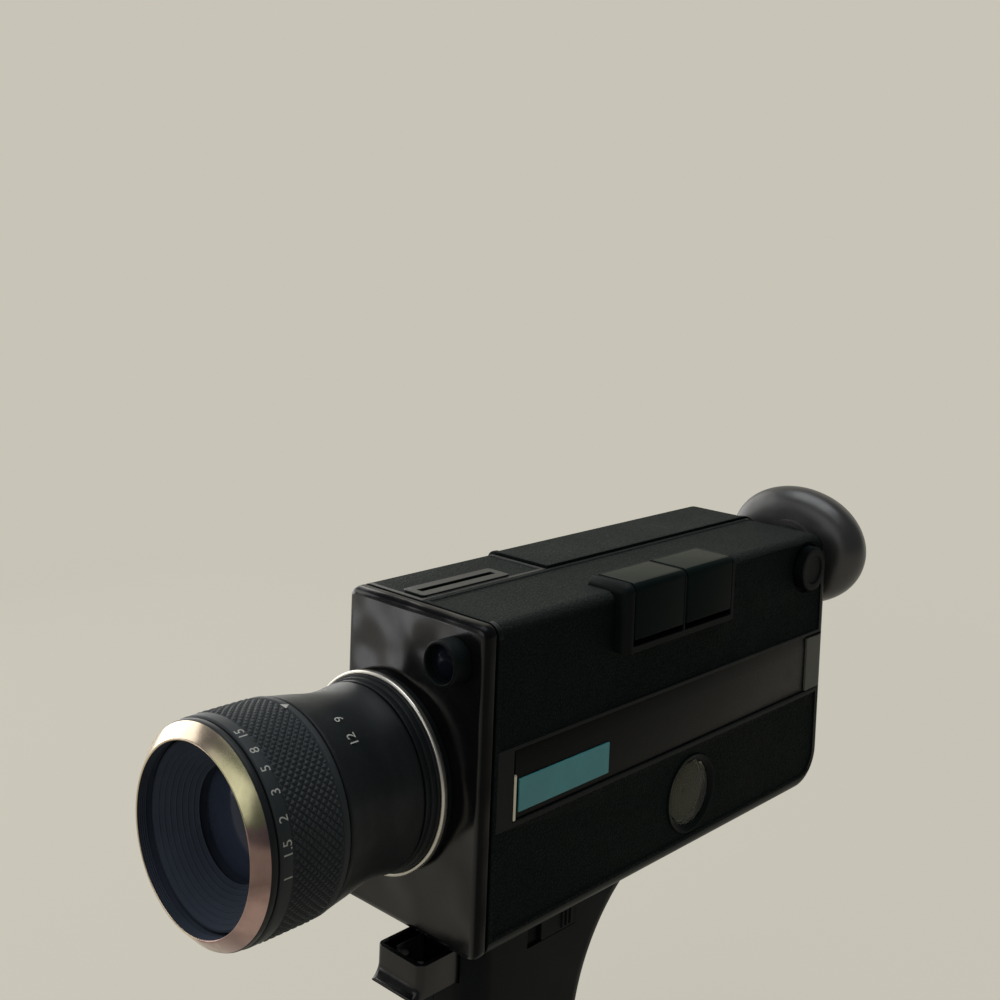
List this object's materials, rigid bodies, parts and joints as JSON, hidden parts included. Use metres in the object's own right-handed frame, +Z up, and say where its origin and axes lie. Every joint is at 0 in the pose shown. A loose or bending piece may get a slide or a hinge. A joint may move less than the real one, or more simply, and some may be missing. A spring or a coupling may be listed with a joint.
{
  "type": "movie camera",
  "caption": "Hand-held film movie camera with a pistol grip, power zoom lens, trigger, zoom buttons, film door, counter window and rubber eyecup.",
  "frame": {"origin": "mouth of the tripod thread in the grip's foot", "axes": "+X to the operator's left, +Y from the lens back to the eyecup, +Z up"},
  "size_m": [0.0728, 0.2555, 0.1907],
  "materials": {
    "grained_casing": "grained, satin",
    "gloss_black": "smooth, glossy",
    "black_plastic": "satin",
    "black_metal": "black anodised, satin",
    "champagne_metal": "polished, champagne tint",
    "silver_trim": "bright",
    "teal_badge": "satin",
    "grey_plastic": "satin",
    "rubber": "smooth, satin",
    "clear": "clear",
    "ivory_dial": "matt",
    "steel": "satin",
    "brass": "satin",
    "nylon": "matt",
    "cast_alloy": "cast, matt",
    "mirror": "silvered",
    "board": "lacquered",
    "cells": "satin"
  },
  "bodies": {
    "camera_body": {"left_casing": "grained_casing", "right_front_casing": "grained_casing", "casing_screws": "steel", "hinge_pins": "steel", "front_plate": "gloss_black", "name_strip": "gloss_black", "strip_end_bar": "silver_trim", "badge_plate": "teal_badge", "strip_end_plate": "grey_plastic", "counter_bezel": "black_plastic", "counter_window": "clear", "zoom_button_housing": "black_plastic", "lens_barrel": "black_metal", "trim_ring": "silver_trim", "eye_tube": "black_plastic", "eye_lens": "clear", "rear_lens_tube": "black_metal", "beam_splitter": "clear", "rear_lens": "clear", "light_meter": "steel", "finder_mirrors": "mirror", "finder_tube": "black_metal", "eyepiece_lens": "clear", "chassis": "cast_alloy", "drive_motor": "steel", "zoom_motor": "steel", "circuit_board": "board", "grip_left": "black_plastic", "grip_right": "black_plastic", "batteries": "cells", "battery_contacts": "brass", "tripod_bush": "brass", "trigger_switch": "black_plastic", "trigger_spring": "steel"},
    "film_door": {"film_door": "grained_casing"},
    "door_latch": {"door_latch": "black_plastic"},
    "counter_dial": {"counter_dial": "ivory_dial"},
    "diopter_knob": {"diopter_knob": "black_plastic"},
    "zoom_button_wide": {"zoom_button_wide": "grey_plastic"},
    "zoom_button_tele": {"zoom_button_tele": "grey_plastic"},
    "zoom_ring": {"zoom_ring": "black_metal"},
    "focus_ring": {"focus_ring": "black_metal", "front_bezel": "champagne_metal"},
    "front_cell": {"front_cell": "black_metal", "front_lens": "clear"},
    "variator": {"variator_cell": "black_metal"},
    "compensator": {"compensator_cell": "black_metal"},
    "filter_slide": {"filter_slide": "steel"},
    "meter_vane": {"meter_vane": "steel"},
    "eyecup": {"eyecup": "rubber"},
    "shutter_shaft": {"shutter_shaft": "steel"},
    "claw": {"claw": "steel"},
    "idler_gear": {"idler_gear": "nylon"},
    "motor_pinion": {"motor_pinion": "brass"},
    "zoom_pinion": {"zoom_pinion": "brass"},
    "takeup_spindle": {"takeup_spindle": "steel"},
    "battery_door": {"battery_door": "black_plastic"},
    "run_switch": {"run_switch": "black_plastic"},
    "trigger": {"trigger": "gloss_black", "trigger_screws": "steel"}
  },
  "joints": [
    {"name": "film_door_swing", "type": "hinge", "parent": "camera_body", "child": "film_door", "pos_m": [-0.0333, 0.029, 0.135], "axis": [0, 0, 1], "range_deg": [0, 100]},
    {"name": "door_latch_slide", "type": "slide", "parent": "film_door", "child": "door_latch", "axis": [0, 1, 0], "range_m": [0, 0.003]},
    {"name": "battery_door_swing", "type": "hinge", "parent": "camera_body", "child": "battery_door", "pos_m": [-0.0135, 0.016, 0.039], "axis": [0, 0, -1], "range_deg": [0, 95]},
    {"name": "trigger_pull", "type": "slide", "parent": "camera_body", "child": "trigger", "axis": [0, 1, 0], "range_m": [0, 0.0035], "stiffness_N_per_m": 400, "springref_m": -0.002, "deforming": ["trigger_spring"]},
    {"name": "zoom_wide_press", "type": "slide", "parent": "camera_body", "child": "zoom_button_wide", "axis": [0, 0, -1], "range_m": [0, 0.0018], "stiffness_N_per_m": 600, "springref_m": -0.0015},
    {"name": "zoom_tele_press", "type": "slide", "parent": "camera_body", "child": "zoom_button_tele", "axis": [0, 0, -1], "range_m": [0, 0.0018], "stiffness_N_per_m": 600, "springref_m": -0.0015},
    {"name": "run_switch_slide", "type": "slide", "parent": "camera_body", "child": "run_switch", "axis": [0, -1, 0], "range_m": [0, 0.005]},
    {"name": "focus_turn", "type": "hinge", "parent": "camera_body", "child": "focus_ring", "pos_m": [-0.0166, -0.077, 0.1317], "axis": [0, 1, 0], "range_deg": [0, 270]},
    {"name": "front_cell_slide", "type": "slide", "parent": "camera_body", "child": "front_cell", "axis": [0, -1, 0], "range_m": [0, 0.0012]},
    {"name": "zoom_turn", "type": "hinge", "parent": "camera_body", "child": "zoom_ring", "pos_m": [-0.0166, -0.052, 0.1317], "axis": [0, 1, 0], "range_deg": [0, 75]},
    {"name": "variator_slide", "type": "slide", "parent": "camera_body", "child": "variator", "axis": [0, 1, 0], "range_m": [0, 0.014]},
    {"name": "compensator_slide", "type": "slide", "parent": "camera_body", "child": "compensator", "axis": [0, 1, 0], "range_m": [0, 0.004]},
    {"name": "zoom_pinion_spin", "type": "hinge", "parent": "camera_body", "child": "zoom_pinion", "pos_m": [0, -0.041, 0.142], "axis": [0, 1, 0], "range_deg": [0, 562.5]},
    {"name": "diopter_turn", "type": "hinge", "parent": "camera_body", "child": "diopter_knob", "pos_m": [0.0215, 0.13, 0.169], "axis": [1, 0, 0], "range_deg": [-90, 90]},
    {"name": "eyecup_turn", "type": "hinge", "parent": "camera_body", "child": "eyecup", "pos_m": [0.003, 0.15, 0.169], "axis": [0, 1, 0], "range_deg": [0, 180]},
    {"name": "counter_turn", "type": "hinge", "parent": "camera_body", "child": "counter_dial", "pos_m": [0.0155, 0.0667, 0.1082], "axis": [1, 0, 0], "range_deg": [0, 300]},
    {"name": "filter_slide_push", "type": "slide", "parent": "camera_body", "child": "filter_slide", "axis": [0, 0, -1], "range_m": [0, 0.0125], "stiffness_N_per_m": 60, "springref_m": -0.004},
    {"name": "meter_vane_swing", "type": "hinge", "parent": "camera_body", "child": "meter_vane", "pos_m": [-0.0166, 0.0125, 0.1527], "axis": [0, 1, 0], "range_deg": [0, 20]},
    {"name": "shutter_spin", "type": "hinge", "parent": "camera_body", "child": "shutter_shaft", "pos_m": [-0.002, 0.03, 0.1367], "axis": [0, 1, 0], "continuous": true},
    {"name": "idler_spin", "type": "hinge", "parent": "camera_body", "child": "idler_gear", "pos_m": [0.003, 0.018, 0.1245], "axis": [0, 1, 0], "continuous": true},
    {"name": "motor_spin", "type": "hinge", "parent": "camera_body", "child": "motor_pinion", "pos_m": [0.0065, 0.018, 0.112], "axis": [0, 1, 0], "continuous": true},
    {"name": "takeup_spin", "type": "hinge", "parent": "camera_body", "child": "takeup_spindle", "pos_m": [-0.0025, 0.074, 0.1217], "axis": [1, 0, 0], "continuous": true},
    {"name": "claw_pull", "type": "slide", "parent": "camera_body", "child": "claw", "axis": [0, 0, -1], "range_m": [0, 0.0042]}
  ],
  "couplings": [
    {"joint": "front_cell_slide", "follows": "focus_turn", "m_per_rad": 0.00025462},
    {"joint": "variator_slide", "follows": "zoom_turn", "m_per_rad": 0.010694},
    {"joint": "compensator_slide", "follows": "zoom_turn", "m_per_rad": 0.0030555},
    {"joint": "zoom_pinion_spin", "follows": "zoom_turn", "ratio": 7.5},
    {"joint": "idler_spin", "follows": "shutter_spin", "ratio": -0.56},
    {"joint": "motor_spin", "follows": "shutter_spin", "ratio": 1.0769},
    {"joint": "takeup_spin", "follows": "shutter_spin", "ratio": 0.025}
  ]
}
